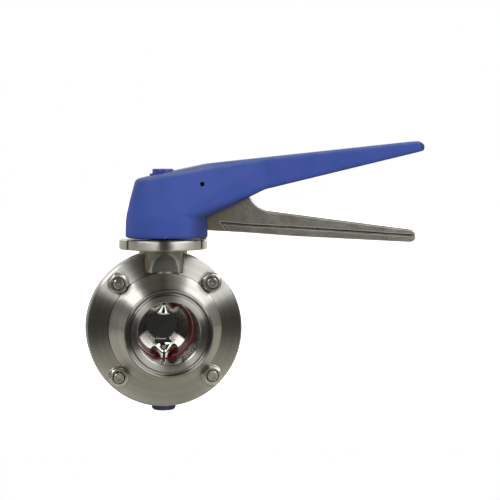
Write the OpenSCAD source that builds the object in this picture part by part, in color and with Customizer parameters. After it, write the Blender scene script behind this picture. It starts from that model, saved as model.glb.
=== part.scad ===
// Sanitary butterfly valve with clamp ferrules and a squeeze-trigger handle.
// Flow runs along Y, the stem stands on Z, and the two axes cross at the origin.
// The valve is shut, with the handle over +X; turning it towards +Y opens the valve.

/* [Flow path] */
// Inside diameter of the flow bore
bore_d = 35.6; // [34:0.1:36.4]
// Length from one ferrule face to the other
face_to_face = 70; // [69:0.5:76]
// Outside diameter of the clamp ferrules
ferrule_d = 50.5; // [49:0.5:52]
// Radius of the gasket groove in the ferrule face
groove_r = 22.3; // [21.5:0.1:22.6]

/* [Body] */
// Outside diameter of the bolted flanges
flange_d = 90.5; // [90:0.1:93]
// Distance of each flange face from the joint between the halves
flange_half_t = 8.8; // [8.4:0.1:9.2]
// Diameter of the raised hub on each flange
hub_d = 65.1; // [64.6:0.1:65.6]
// Height of the hub edge above the joint
hub_h = 13.8; // [13:0.1:15]
// Diameter of the circle through the four bolts
bolt_circle_d = 76.6; // [76.2:0.1:77]

/* [Neck and index plate] */
// Diameter of the neck that carries the stem
neck_d = 28; // [27.4:0.1:28.6]
// Height of the underside of the index plate
plate_z = 46; // [45.8:0.1:46.2]
// Thickness of the index plate
plate_t = 5.6; // [5:0.1:5.8]
// Diameter of the index plate
plate_d = 51.2; // [50.6:0.1:52]
// Angle between two latch notches
notch_step = 15; // [15]
// Width of a latch notch
notch_w = 4.2; // [4:0.1:4.6]

/* [Seat and disc] */
// Half of the width of the seat ring along the flow
seat_half_w = 6.2; // [6:0.1:6.5]
// Radial gap between the closed disc and the seat
disc_gap = 0.3; // [0.3:0.05:0.5]
// Thickness of the disc at its middle
disc_t = 7.6; // [7:0.1:8]
// Thickness of the disc at its rim
disc_rim_t = 2.6; // [2:0.1:3]

/* [Handle] */
// Half of the width of the handle arm
arm_half_w = 11; // [10.5:0.1:11.5]
// Half of the width of the hollow under the arm
hollow_half_w = 7.2; // [7:0.1:7.4]
// Thickness of the roof over the hollow
roof_t = 3.2; // [3:0.1:3.6]
// Edge radius of the moulding
edge_r = 2; // [1.8:0.1:2.2]

/* [Trigger] */
// Half of the width of the trigger
trigger_half_w = 5.5; // [5:0.1:5.8]
// Depth of the rebate along the lower edge of the trigger
rebate_t = 1.6; // [1.2:0.1:2]
// Diameter of the pivot pin
pin_d = 3; // [2.8:0.1:3.2]

/* [Hidden] */

$fn = 96;
fit = 0.05;          // gap between pieces that are fixed to each other
run = 0.08;          // radial gap of a part that turns

bore_r = bore_d / 2;
face_h = face_to_face / 2;
ferrule_r = ferrule_d / 2;
ferrule_rim_t = 2.85;
tube_r = 20;
hub_r = hub_d / 2;
flange_r = flange_d / 2;
neck_r = neck_d / 2;
seat_r = 26;
seat_inner_r = bore_r - 0.5;
disc_r = seat_inner_r - disc_gap;
stem_r = 5;
stem_socket_z = 12.5;
bush_r = 7;
neck_foot_z = seat_r + 0.6;
neck_core_r = 10.5;             // inside the hub, where the wide neck would break out
neck_relief_r = hub_r + 1.35;   // turned clearance between the hub and the neck
spigot_r = 8;
plate_r = plate_d / 2;
plate_top_z = plate_z + plate_t;

bolt_r = 3;
bolt_across_flats = 10;
washer_t = 1.2;
bolt_angles = [45, 135, 225, 315];
nut_turns = [8, 24, 41, 17];

// The arm's upper and lower edges in side view, as heights above the flow axis
knee_x = 27;                    // where the steep head slope meets the arm
knee_z = 95.8;
head_slope = 0.2126;
arm_slope = 0.106;
arm_foot_x = 58;                // where the steep underside meets the arm
arm_foot_z = 80.5;
foot_slope = 0.486;
underside_slope = 0.236;
tip_x = 155;
function top_z(x) = x < knee_x ? knee_z + head_slope * (x - knee_x)
    : knee_z + arm_slope * (x - knee_x);
function under_z(x) = x < arm_foot_x ? arm_foot_z + foot_slope * (x - arm_foot_x)
    : arm_foot_z + underside_slope * (x - arm_foot_x);

skirt_z = 52.6;                 // bottom of the handle skirt
skirt_r = 22;
skirt_shift = 4.6;              // how far the skirt is drawn out towards the arm
hollow_x = 13.6;                // where the hollow under the arm begins
boss_r = 12.8;
insert_across_flats = 17;
insert_z = 54.2;
insert_top_z = 78;
drive_across_flats = 7;
button_r = 6.2;
button_seat_z = 89.9;
button_top_z = 92.7;
screw_bore_r = 5.4;

pivot = [21.1, 83.9];           // trigger pivot, in side view
eye_r = 6;
pin_r = pin_d / 2;
pin_half_l = 10.5;
throat_r = 15.4;                // hollow curve of the trigger behind the fingers
throat = [64.57, 82.97];
grip_end = [146.6, 52.7];       // centre of the trigger's rounded end
grip_end_r = 3.7;
tooth_x = 21.9;
tooth_l = 3.4;
tooth_w = 3.6;
tooth_z = 46.5;
spring_wire_r = 0.55;
spring_r = 3.4;
spring_turns = 3;
spring_y = 7.1;                 // end of the spring that rests on the rear cheek
eye_face_y = 2;                 // rear face of the trigger's eye, cut back for the spring

steel = [0.74, 0.73, 0.70];
bright_steel = [0.85, 0.85, 0.84];
nylon_blue = [0.24, 0.32, 0.62];
navy = [0.12, 0.15, 0.35];
seat_red = [0.45, 0.06, 0.07];

// Turns a shape drawn about Z so that its upper end faces the front (-Y) or the rear
module along_flow(front = true) rotate([front ? 90 : -90, 0, 0]) children();

// Places copies on the bolt circle; $i is the bolt's number
module at_bolts()
    for ($i = [0 : len(bolt_angles) - 1])
        rotate([0, -bolt_angles[$i], 0]) translate([bolt_circle_d / 2, 0, 0]) children();

// A hexagon prism of a given width across its flats
module hexagon(across_flats, h) cylinder(r = across_flats / sqrt(3), h = h, $fn = 6);

// The same with its corners turned off at the top
module bevelled_hexagon(across_flats, h) {
    corner_r = across_flats / sqrt(3) + 0.1;
    intersection() {
        hexagon(across_flats, h);
        rotate_extrude() polygon([[0, 0], [corner_r - 0.3, 0], [corner_r, 0.2], [corner_r, h - 0.7],
            [corner_r - 1.1, h], [0, h]]);
    }
}

module ring(outer_r, inner_r, h)
    difference() {
        cylinder(r = outer_r, h = h);
        translate([0, 0, -1]) cylinder(r = inner_r, h = h + 2);
    }

// ---- valve body ----

// Section of one body half: radius across, distance from the joint upwards
module half_section() {
    hub_chamfer = 1.2;
    rim_chamfer = 0.9;
    lip = 0.3;
    polygon([[bore_r, seat_half_w + fit], [seat_r + fit, seat_half_w + fit],
        [seat_r + fit, 0], [flange_r, 0], [flange_r, flange_half_t - rim_chamfer],
        [flange_r - rim_chamfer, flange_half_t], [hub_r, flange_half_t],
        [hub_r, hub_h - hub_chamfer], [hub_r - hub_chamfer, hub_h], [tube_r, face_h - 6],
        [tube_r, face_h - 4.8], [ferrule_r, face_h - ferrule_rim_t],
        [ferrule_r, face_h - lip], [ferrule_r - lip, face_h],
        [bore_r + lip, face_h], [bore_r, face_h - lip]]);
}

module body_half(front) {
    groove_section_r = 1.5;
    spot_face_r = 6.7;
    difference() {
        along_flow(front) difference() {
            rotate_extrude() half_section();
            rotate_extrude() translate([groove_r, face_h + 0.1]) circle(groove_section_r, $fn = 40);
        }
        at_bolts() along_flow(front) {
            translate([0, 0, -1]) cylinder(r = bolt_r + 0.3, h = hub_h + 2);
            translate([0, 0, flange_half_t]) cylinder(r = spot_face_r, h = hub_h);
        }
        neck_solid(neck_r + fit, neck_core_r + fit, neck_relief_r - fit, neck_foot_z - 2);
        translate([0, 0, -flange_r - 2]) cylinder(r = bush_r + fit, h = flange_r - seat_r + 3);
    }
}

module front_body_half() color(steel) body_half(true);

module rear_body_half() color(steel) body_half(false);

// The neck stands past both flange faces, so the lathe leaves an arched flat on each side
module neck_solid(r, core_r, relief_r, foot_z) {
    translate([0, 0, foot_z]) cylinder(r = core_r, h = plate_z - foot_z);
    difference() {
        translate([0, 0, foot_z]) cylinder(r = r, h = plate_z - foot_z);
        along_flow() translate([0, 0, -flange_r]) cylinder(r = relief_r, h = 2 * flange_r);
    }
}

module neck_tube() color(steel) {
    facet_top_r = 41.6;
    facet_depth = 1.7;
    difference() {
        union() {
            neck_solid(neck_r, neck_core_r, neck_relief_r, neck_foot_z);
            translate([0, 0, neck_foot_z]) cylinder(r = spigot_r, h = plate_top_z - neck_foot_z);
        }
        cylinder(r = bush_r + fit, h = 3 * plate_top_z, center = true);
        for (front = [true, false]) along_flow(front) rotate_extrude()
            polygon([[neck_relief_r - 0.5, neck_r - facet_depth], [neck_relief_r, neck_r - facet_depth],
                [facet_top_r, neck_r], [facet_top_r, neck_r + 3], [neck_relief_r - 0.5, neck_r + 3]]);
    }
}

module index_plate() color(steel) {
    edge = 0.9;
    notch_r = 21.5;
    slot_w = 2;
    difference() {
        rotate_extrude() difference() {
            union() {
                translate([0, plate_z]) square([plate_r - edge, plate_t]);
                translate([0, plate_z + edge]) square([plate_r, plate_t - 2 * edge]);
                for (z = [plate_z + edge, plate_top_z - edge])
                    translate([plate_r - edge, z]) circle(edge, $fn = 32);
            }
            translate([0, plate_z - 1]) square([spigot_r + fit, plate_t + 2]);
        }
        for (a = [0 : notch_step : 90])
            rotate([0, 0, a]) translate([notch_r, -notch_w / 2, plate_z - 1])
                cube([plate_r, notch_w, plate_t + 2]);
        for (a = [-35, -148])
            rotate([0, 0, a]) translate([plate_r - 2.2, -slot_w / 2, plate_z - 1])
                cube([5, slot_w, plate_t + 2]);
    }
}

module seat_ring() color(seat_red)
    difference() {
        along_flow() translate([0, 0, -seat_half_w]) ring(seat_r, seat_inner_r, 2 * seat_half_w);
        cylinder(r = stem_r + run, h = 3 * seat_r, center = true);
    }

module upper_bush() color(navy)
    translate([0, 0, seat_r + 1]) ring(bush_r, stem_r + run, plate_top_z - seat_r - 1.6);

module lower_bush() color(navy) {
    cap_z = -48.3;
    socket_z = -40.2;
    rotate_extrude() polygon([[0, cap_z], [bush_r - 1, cap_z + 0.3], [bush_r, cap_z + 1.3],
        [bush_r, -seat_r - 1], [stem_r + run, -seat_r - 1], [stem_r + run, socket_z],
        [0, socket_z]]);
}

// ---- fasteners of the body ----

module flange_bolts() color(bright_steel) {
    head_h = 4;
    head_face = flange_half_t + washer_t;
    end_h = 16.2;
    at_bolts() {
        translate([0, head_face, 0]) along_flow(false) bevelled_hexagon(bolt_across_flats, head_h);
        along_flow() rotate_extrude() polygon([[0, -head_face], [bolt_r, -head_face],
            [bolt_r, end_h - 0.7], [bolt_r - 0.7, end_h], [0.9, end_h], [0, end_h - 0.7]]);
    }
}

module flange_nuts() color(bright_steel) {
    nut_h = 5;
    at_bolts() translate([0, -flange_half_t - washer_t, 0]) along_flow() difference() {
        rotate([0, 0, nut_turns[$i]]) bevelled_hexagon(bolt_across_flats, nut_h);
        translate([0, 0, -1]) cylinder(r = bolt_r + fit, h = nut_h + 2);
    }
}

module washers(front) color(bright_steel)
    at_bolts() translate([0, front ? -flange_half_t : flange_half_t, 0]) along_flow(front)
        ring(6, bolt_r + 0.2, washer_t);

module nut_washers() washers(true);

module head_washers() washers(false);

// ---- disc and stem ----

// A lens on the stem axis, with a conical boss at each end of its diameter
module disc() color(bright_steel) {
    boss_end_r = 6.6;
    rise = (disc_t - disc_rim_t) / 2;
    lens_r = (disc_r * disc_r + rise * rise) / (2 * rise);
    difference() {
        union() {
            along_flow() rotate_extrude() intersection() {
                translate([0, -disc_t]) square([disc_r, 2 * disc_t]);
                translate([0, lens_r - disc_t / 2]) circle(lens_r, $fn = 720);
                translate([0, disc_t / 2 - lens_r]) circle(lens_r, $fn = 720);
            }
            for (end = [0, 180]) rotate([end, 0, 0]) rotate_extrude() intersection() {
                polygon([[0, 7.5], [3.2, 7.5], [boss_end_r, 15.5], [boss_end_r, 18], [0, 18]]);
                circle(disc_r, $fn = 360);
            }
        }
        for (end = [0, 180]) rotate([end, 0, 0]) translate([0, 0, stem_socket_z])
            cylinder(r = stem_r + fit, h = disc_r);
    }
}

module stem_groove(z) translate([0, 0, z - 0.75]) ring(stem_r + 1, 3.6, 1.5);

o_ring_z = [31, 37, -31];

module upper_stem() color(bright_steel)
    difference() {
        union() {
            translate([0, 0, stem_socket_z + fit]) cylinder(r = stem_r, h = insert_z - stem_socket_z - 1);
            translate([0, 0, insert_z - 2]) intersection() {
                translate([0, 0, (insert_top_z - insert_z + 1) / 2])
                    cube([drive_across_flats, drive_across_flats, insert_top_z - insert_z + 1],
                        center = true);
                cylinder(r = stem_r, h = insert_top_z);
            }
        }
        for (z = o_ring_z) if (z > 0) stem_groove(z);
        translate([0, 0, 64]) cylinder(r = 2.5 + fit, h = 20);
    }

module lower_trunnion() color(bright_steel)
    difference() {
        translate([0, 0, -39.8]) cylinder(r = stem_r, h = 39.8 - stem_socket_z - fit);
        for (z = o_ring_z) if (z < 0) stem_groove(z);
    }

module stem_o_rings() color("black")
    for (z = o_ring_z) translate([0, 0, z]) rotate_extrude() translate([4.3, 0]) circle(0.65, $fn = 32);

// ---- handle ----

// Four corner balls of the arm's cross-section at one place along it
module arm_section(x, half_w = arm_half_w)
    for (side = [-1, 1], z = [under_z(x) + edge_r, top_z(x) - edge_r])
        translate([x, side * (half_w - edge_r), z]) sphere(edge_r, $fn = 24);

// Level slice through the head, drawn out towards the arm
module head_slice(z, r)
    for (x = [0, skirt_shift]) translate([x, 0, z]) cylinder(r = r, h = 0.2, $fn = 56);

module head_top() {
    rim_r = 13.8;
    round_r = 3;
    translate([0, 0, top_z(0) - round_r / cos(12)]) rotate([0, -12, 0]) rotate_extrude($fn = 48)
        translate([rim_r, 0]) circle(round_r, $fn = 24);
}

module handle_solid() {
    hull() {
        head_slice(skirt_z, skirt_r - 0.7);
        head_slice(skirt_z + 0.7, skirt_r);
        head_slice(62, skirt_r - 0.3);
        head_slice(66, skirt_r - 0.8);
    }
    hull() {
        head_slice(64.9, skirt_r - 0.6);
        head_slice(66, skirt_r - 0.8);
        head_slice(75, skirt_r - 3);
        head_slice(81.5, skirt_r - 5);
        head_top();
        arm_section(knee_x);
        arm_section(40);
    }
    hull() {
        arm_section(40);
        arm_section(arm_foot_x);
    }
    hull() {
        arm_section(arm_foot_x);
        for (side = [-1, 1]) {
            translate([tip_x - 3.2, side * 6.4, top_z(tip_x - 3.2) - 3.2]) sphere(3.2, $fn = 24);
            translate([tip_x - 1.8, side * 7.8, under_z(tip_x - 1.8) + 1.7]) sphere(1.7, $fn = 24);
        }
    }
}

// Side view of the hollow that opens downwards and takes the trigger's root
module hollow_outline() {
    end_x = 148;
    polygon([[hollow_x, skirt_z - 5], [hollow_x, top_z(hollow_x) - roof_t],
        [knee_x, top_z(knee_x) - roof_t], [end_x, top_z(end_x) - roof_t], [end_x, skirt_z - 5]]);
}

module side_plate(half_w) rotate([90, 0, 0]) translate([0, 0, -half_w])
    linear_extrude(2 * half_w) children();

module handle_shell() color(nylon_blue) {
    inner_r = skirt_r - 3;
    cavity_z = 72;
    nick_w = 1.6;
    difference() {
        union() {
            handle_solid();
            translate([0, 0, 80]) cylinder(r = 7.7, h = button_seat_z - 80);
        }
        difference() {
            side_plate(hollow_half_w) hollow_outline();
            for (x = [68 : 16 : 132]) translate([x, -arm_half_w, under_z(x) + 3])
                cube([2, 2 * arm_half_w, 20]);
        }
        difference() {
            translate([0, 0, skirt_z - 5]) cylinder(r = inner_r, h = cavity_z - skirt_z + 5);
            translate([0, 0, skirt_z + 0.8]) cylinder(r = boss_r, h = cavity_z);
        }
        translate([0, 0, skirt_z - 5]) cylinder(r = stem_r + 1, h = insert_z - skirt_z + 5);
        translate([0, 0, insert_z - fit]) hexagon(insert_across_flats + 2 * fit, insert_top_z - insert_z + 2 * fit);
        translate([0, 0, insert_top_z - 1]) cylinder(r = screw_bore_r, h = 20);
        translate([0, 0, button_seat_z]) cylinder(r = button_r + 0.3, h = 10);
        translate([pivot[0], 0, pivot[1]]) rotate([90, 0, 0])
            cylinder(r = pin_r + fit, h = 4 * arm_half_w, center = true);
        translate([-nick_w / 2, -skirt_r - 2, skirt_z - 1]) cube([nick_w, 6, 2.2]);
    }
}

module drive_insert() color(steel)
    difference() {
        translate([0, 0, insert_z]) hexagon(insert_across_flats, insert_top_z - insert_z);
        translate([0, 0, insert_z]) cube([drive_across_flats + 2 * fit, drive_across_flats + 2 * fit,
            4 * (insert_top_z - insert_z)], center = true);
    }

module screw_washer() color(bright_steel)
    translate([0, 0, insert_top_z]) ring(5.2, 2.7, 1);

module handle_screw() color(bright_steel)
    translate([0, 0, insert_top_z + 1]) difference() {
        rotate_extrude() polygon([[0, -13], [2.5, -13], [2.5, 0], [4.25, 0], [4.25, 4.6],
            [3.9, 5], [0, 5]]);
        translate([0, 0, 2.2]) hexagon(4, 5);
    }

module cap_plug() color(navy) {
    stalk_z = 85.2;
    rotate_extrude() polygon([[0, stalk_z], [screw_bore_r - 0.6, stalk_z], [screw_bore_r - 0.1, stalk_z + 0.8],
        [screw_bore_r - 0.1, button_seat_z], [button_r, button_seat_z],
        [button_r, button_top_z - 0.5], [button_r - 0.5, button_top_z], [0, button_top_z]]);
}

module trigger_pin() color("dimgray")
    translate([pivot[0], 0, pivot[1]]) rotate([90, 0, 0])
        translate([0, 0, -pin_half_l]) ring(pin_r, 0.6, 2 * pin_half_l);

// Points of the wound wire, then of its two legs, in the spring's own frame (axis along Z)
function coil_point(turn) = [spring_r * cos(360 * turn), spring_r * sin(360 * turn),
    (turn + 0.5) * 2 * (spring_wire_r + 0.02)];
coil_steps = 16;
coil_path = [for (i = [0 : spring_turns * coil_steps]) coil_point(i / coil_steps)];

// A tube of eight sides swept along a path; up is any direction never along the path
module swept_wire(path, r) {
    sides = 8;
    n = len(path);
    function unit(v) = v / norm(v);
    function ahead(i) = unit(path[min(i + 1, n - 1)] - path[max(i - 1, 0)]);
    function across(i) = unit(cross(ahead(i), [0, 0, 1]));
    points = [for (i = [0 : n - 1], k = [0 : sides - 1])
        path[i] + r * cos(360 * k / sides) * across(i)
            + r * sin(360 * k / sides) * cross(across(i), ahead(i))];
    walls = [for (i = [0 : n - 2], k = [0 : sides - 1])
        [i * sides + k, i * sides + (k + 1) % sides,
            (i + 1) * sides + (k + 1) % sides, (i + 1) * sides + k]];
    polyhedron(points, concat(walls, [[for (k = [sides - 1 : -1 : 0]) k]],
        [[for (k = [0 : sides - 1]) (n - 1) * sides + k]]));
}

// Torsion spring round the pivot pin: one leg under the roof, one behind the trigger root
module trigger_spring() color("dimgray")
    translate([pivot[0], spring_y, pivot[1]]) rotate([90, 0, 0]) {
        first = coil_path[0];
        last = coil_path[len(coil_path) - 1];
        swept_wire(concat([first + [0, -9, 0], first + [0, -1, 0]], coil_path,
            [last + [0, 1, 0], last + [0, 4.2, 0]]), spring_wire_r);
    }

// ---- trigger ----

// Side view of the whole trigger, without its tooth
module trigger_outline() {
    difference() {
        union() {
            translate(pivot) circle(eye_r);
            translate(grip_end) circle(grip_end_r);
            polygon([pivot + [-eye_r, 0], pivot + [0, eye_r], [40, 87.4], throat + [-throat_r, 0],
                throat, throat + throat_r * [-0.1276, -0.9918],
                grip_end + grip_end_r * [0.1276, 0.9918], grip_end + grip_end_r * [-0.045, -0.999],
                [77.4, 53.0], [49, 55.3], [36.8, 56.1], [19.2, 57.2]]);
        }
        translate(throat) circle(throat_r);
    }
}

// Side view of the rebate along the lower edge, mitred at its left end
module rebate_outline() {
    polygon([[32.6, 62.1], [49, 60.4], [86.9, 58.1], [149, 53.6], [152, 53.6], [152, 45],
        [45, 45], [36.8, 56.3]]);
}

module trigger() color(steel) {
    difference() {
        union() {
            side_plate(trigger_half_w) trigger_outline();
            translate([tooth_x, -tooth_w / 2, tooth_z])
                cube([tooth_l, tooth_w, 60 - tooth_z]);
        }
        for (side = [-1, 1]) translate([0, side * trigger_half_w, 0])
            side_plate(rebate_t) rebate_outline();
        translate([pivot[0], eye_face_y, pivot[1]]) rotate([-90, 0, 0])
            cylinder(r = eye_r + 3, h = 10);
        translate([pivot[0], 0, pivot[1]]) rotate([90, 0, 0])
            cylinder(r = pin_r + run, h = 40, center = true);
    }
}

front_body_half();
rear_body_half();
neck_tube();
index_plate();
seat_ring();
upper_bush();
lower_bush();
flange_bolts();
flange_nuts();
nut_washers();
head_washers();
disc();
upper_stem();
lower_trunnion();
stem_o_rings();
handle_shell();
drive_insert();
handle_screw();
screw_washer();
cap_plug();
trigger_pin();
trigger_spring();
trigger();
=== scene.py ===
import math

import bmesh
import bpy
from mathutils import Matrix, Vector


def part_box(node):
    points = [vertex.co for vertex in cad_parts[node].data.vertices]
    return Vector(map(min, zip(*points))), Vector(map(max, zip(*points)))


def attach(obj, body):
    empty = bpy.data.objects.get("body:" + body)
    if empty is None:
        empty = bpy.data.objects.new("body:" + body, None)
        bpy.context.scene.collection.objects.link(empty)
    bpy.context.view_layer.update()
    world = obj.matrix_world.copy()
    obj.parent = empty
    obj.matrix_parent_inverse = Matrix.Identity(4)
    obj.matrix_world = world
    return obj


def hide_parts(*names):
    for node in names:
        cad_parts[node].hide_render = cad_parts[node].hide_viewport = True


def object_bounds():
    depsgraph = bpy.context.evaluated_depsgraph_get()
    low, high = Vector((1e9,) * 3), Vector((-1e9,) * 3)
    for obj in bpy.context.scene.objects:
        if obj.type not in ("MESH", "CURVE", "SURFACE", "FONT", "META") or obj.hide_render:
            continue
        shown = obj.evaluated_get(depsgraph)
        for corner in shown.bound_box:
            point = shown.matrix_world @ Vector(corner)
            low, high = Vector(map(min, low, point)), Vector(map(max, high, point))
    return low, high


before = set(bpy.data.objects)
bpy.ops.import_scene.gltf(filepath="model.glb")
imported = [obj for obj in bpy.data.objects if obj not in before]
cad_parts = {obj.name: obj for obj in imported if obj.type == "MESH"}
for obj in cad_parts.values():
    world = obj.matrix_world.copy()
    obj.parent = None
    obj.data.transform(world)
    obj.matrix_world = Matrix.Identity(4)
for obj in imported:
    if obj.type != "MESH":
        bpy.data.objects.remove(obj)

cad_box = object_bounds()

# ---- Studio ----
# A pale floor that the valve stands on, one long softbox above each shoulder of the camera, and
# a dim room with a dark ceiling, which the polished steel mirrors.
mm = 0.001
camera_azimuth = math.radians(-8.487)
camera_height_angle = math.radians(3.443)
camera_place = Vector((-82.1, -893.3, 99.2)) * mm
camera_lens = 110.77


def add_node(tree, kind, links=None, **settings):
    """Adds a node; links holds a value or an output for each of its inputs."""
    node = tree.nodes.new(kind)
    for name, value in settings.items():
        setattr(node, name, value)
    for name, value in (links or {}).items():
        if isinstance(value, bpy.types.NodeSocket):
            tree.links.new(value, node.inputs[name])
        else:
            node.inputs[name].default_value = value
    return node


def ramp(tree, amount, stops, **settings):
    """A colour ramp; stops are (place, colour) pairs, with a colour as one grey or as three numbers."""
    node = add_node(tree, "ShaderNodeValToRGB", {"Fac": amount})
    for name, value in settings.items():
        setattr(node.color_ramp, name, value)
    elements = node.color_ramp.elements
    while len(elements) < len(stops):
        elements.new(0.5)
    for element, (place, colour) in zip(elements, stops):
        element.position = place
        grey = isinstance(colour, (int, float))
        element.color = (*((colour,) * 3 if grey else colour), 1)
    return node.outputs["Color"]


def blend(tree, amount, first, second, how="MIX"):
    """Mixes two colours by an amount from 0 to 1."""
    node = add_node(tree, "ShaderNodeMix", data_type="RGBA", blend_type=how)
    for place, value in ((0, amount), (6, first), (7, second)):
        if isinstance(value, bpy.types.NodeSocket):
            tree.links.new(value, node.inputs[place])
        else:
            node.inputs[place].default_value = value if place == 0 else (*value, 1)
    return node.outputs[2]


def parts_of(tree, vector):
    """The X, Y and Z of a vector."""
    return add_node(tree, "ShaderNodeSeparateXYZ", {"Vector": vector}).outputs


camera_data = bpy.data.cameras.new("camera")
camera_data.lens = camera_lens
camera_data.sensor_width = 36
camera_data.clip_start = 0.05
camera = bpy.data.objects.new("camera", camera_data)
camera.location = camera_place
looking = Vector((
    -math.sin(camera_azimuth) * math.cos(camera_height_angle),
    math.cos(camera_azimuth) * math.cos(camera_height_angle),
    -math.sin(camera_height_angle),
))
camera.rotation_euler = looking.to_track_quat("-Z", "Y").to_euler()
bpy.context.collection.objects.link(camera)
bpy.context.scene.camera = camera
bpy.context.scene.view_settings.view_transform = "Standard"

floor_half = 4.0
floor_front = -0.13
floor_z = cad_box[0].z - 0.05 * mm
floor_mesh = bpy.data.meshes.new("floor")
floor_mesh.from_pydata([
    (-floor_half, floor_front, floor_z), (floor_half, floor_front, floor_z),
    (floor_half, floor_half, floor_z), (-floor_half, floor_half, floor_z),
], [], [(0, 1, 2, 3)])
floor = bpy.data.objects.new("floor", floor_mesh)
bpy.context.collection.objects.link(floor)
floor_paint = bpy.data.materials.new("floor_paint")
floor_paint.use_nodes = True
tree = floor_paint.node_tree
paint = tree.nodes["Principled BSDF"]
paint.inputs["Roughness"].default_value = 0.9
path = add_node(tree, "ShaderNodeLightPath")
in_mirror = path.outputs["Is Glossy Ray"]
tree.links.new(blend(tree, in_mirror, (0.86, 0.86, 0.85), (0.46, 0.45, 0.39)), paint.inputs["Base Color"])
tree.links.new(blend(tree, path.outputs["Is Camera Ray"], (0, 0, 0), (0.88, 0.88, 0.88)),
               paint.inputs["Emission Color"])
paint.inputs["Emission Strength"].default_value = 1.0
floor_mesh.materials.append(floor_paint)

room = bpy.data.worlds.new("room")
bpy.context.scene.world = room
room.use_nodes = True
tree = room.node_tree
direction = parts_of(tree, add_node(tree, "ShaderNodeTexCoord").outputs["Generated"])
height = add_node(tree, "ShaderNodeMapRange", {"Value": direction["Z"], "From Min": -1}).outputs["Result"]
depth = add_node(tree, "ShaderNodeMapRange", {"Value": direction["Y"], "From Min": -1}).outputs["Result"]
walls = ramp(tree, depth, [
    (0.0, (0.035, 0.035, 0.035)), (0.30, (0.06, 0.06, 0.058)), (0.42, (0.20, 0.197, 0.18)),
    (0.54, (0.55, 0.545, 0.49)), (0.68, (0.66, 0.655, 0.61)), (1.0, (0.90, 0.90, 0.88)),
])
ceiling = ramp(tree, height, [(0.0, 1.0), (0.60, 1.0), (0.78, 0.16), (1.0, 0.10)])
seen = blend(tree, 1.0, walls, ceiling, how="MULTIPLY")
path = add_node(tree, "ShaderNodeLightPath")
seen = blend(tree, path.outputs["Is Diffuse Ray"], seen, (0.55, 0.55, 0.55))
shown = blend(tree, path.outputs["Is Camera Ray"], seen, (1.0, 1.0, 1.0))
background = tree.nodes["Background"]
tree.links.new(shown, background.inputs["Color"])


def softbox(name, clock, off_axis, length, width, glow, distance=1.3):
    """A long soft light facing the valve; clock is its angle round the flow axis, off_axis from it."""
    outward = Vector((math.cos(clock), 0, math.sin(clock)))
    front = Vector((0, -1, 0))
    place = front * math.cos(off_axis) + outward * math.sin(off_axis)
    along = outward * math.cos(off_axis) - front * math.sin(off_axis)
    across = along.cross(place)
    data = bpy.data.lights.new(name, "AREA")
    data.shape = "RECTANGLE"
    data.size, data.size_y = width, length
    data.energy = glow * math.pi * length * width
    lamp = bpy.data.objects.new(name, data)
    turn = Matrix((across, along, place)).transposed().to_4x4()
    lamp.matrix_world = Matrix.Translation(place * distance) @ turn
    lamp.visible_camera = False
    bpy.context.collection.objects.link(lamp)


softbox("softbox_left", math.radians(135), math.radians(58), 1.7, 0.50, 4.2)
softbox("softbox_right", math.radians(41), math.radians(58), 1.7, 0.85, 3.6)
softbox("softbox_rear", math.radians(70), math.radians(140), 1.0, 1.6, 1.6)

# ---- Body halves ----
# Two turned stainless forgings, each a clamp ferrule, conical hub and bolted flange in one piece.
# The lathe leaves fine rings, so light smears across them; the flange face falls away a little
# towards its rim, and each bolt has a flat spot face cut into it.


def effect_group(name, inputs, outputs):
    """A shader node group with named sockets; inputs are (name, kind, default)."""
    group = bpy.data.node_groups.new(name, "ShaderNodeTree")
    for label, kind, value in inputs:
        socket = group.interface.new_socket(label, in_out="INPUT", socket_type="NodeSocket" + kind)
        if value is not None:
            socket.default_value = value
    for label in outputs:
        group.interface.new_socket(label, in_out="OUTPUT", socket_type="NodeSocketFloat")
    return group, add_node(group, "NodeGroupInput").outputs, add_node(group, "NodeGroupOutput").inputs


def arithmetic(tree, operation, first, second=0.0):
    return add_node(tree, "ShaderNodeMath", {0: first, 1: second}, operation=operation).outputs["Value"]


def spread(tree, value, low, high, start=0.0, end=1.0):
    """Maps a value from start..end onto low..high."""
    return add_node(tree, "ShaderNodeMapRange", {
        "Value": value, "From Min": start, "From Max": end, "To Min": low, "To Max": high,
    }).outputs["Result"]


# Rings left by a lathe turning about Y: fine grooves, slow changes of tone across them, and the radius
turning_marks, given, result = effect_group(
    "turning marks", [("Vector", "Vector", None), ("Pitch", "Float", 0.2 * mm)],
    ["Grooves", "Bands", "Radius"])
level = add_node(turning_marks, "ShaderNodeVectorMath", {0: given["Vector"], 1: (1, 0, 1)},
                 operation="MULTIPLY").outputs["Vector"]
radius = add_node(turning_marks, "ShaderNodeVectorMath", {0: level}, operation="LENGTH").outputs["Value"]
along = parts_of(turning_marks, given["Vector"])["Y"]
place = add_node(turning_marks, "ShaderNodeCombineXYZ", {"X": radius, "Y": along}).outputs["Vector"]
turning_marks.links.new(radius, result["Radius"])
for label, share, detail in (("Grooves", 1.0, 4.0), ("Bands", 0.05, 2.0)):
    rings = add_node(turning_marks, "ShaderNodeTexNoise", {
        "Vector": place, "Scale": arithmetic(turning_marks, "DIVIDE", share, given["Pitch"]),
        "Detail": detail, "Roughness": 0.65,
    }, noise_dimensions="2D")
    turning_marks.links.new(rings.outputs["Fac"], result[label])

# Soft patches of handling marks and tarnish, and a fine speckle
mottle, given, result = effect_group(
    "mottle", [("Vector", "Vector", None), ("Patch Size", "Float", 12 * mm)], ["Patches", "Speckle"])
for label, share, detail in (("Patches", 1.0, 3.0), ("Speckle", 40.0, 5.0)):
    cloud = add_node(mottle, "ShaderNodeTexNoise", {
        "Vector": given["Vector"], "Scale": arithmetic(mottle, "DIVIDE", share, given["Patch Size"]),
        "Detail": detail, "Roughness": 0.6,
    })
    mottle.links.new(cloud.outputs["Fac"], result[label])

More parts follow.
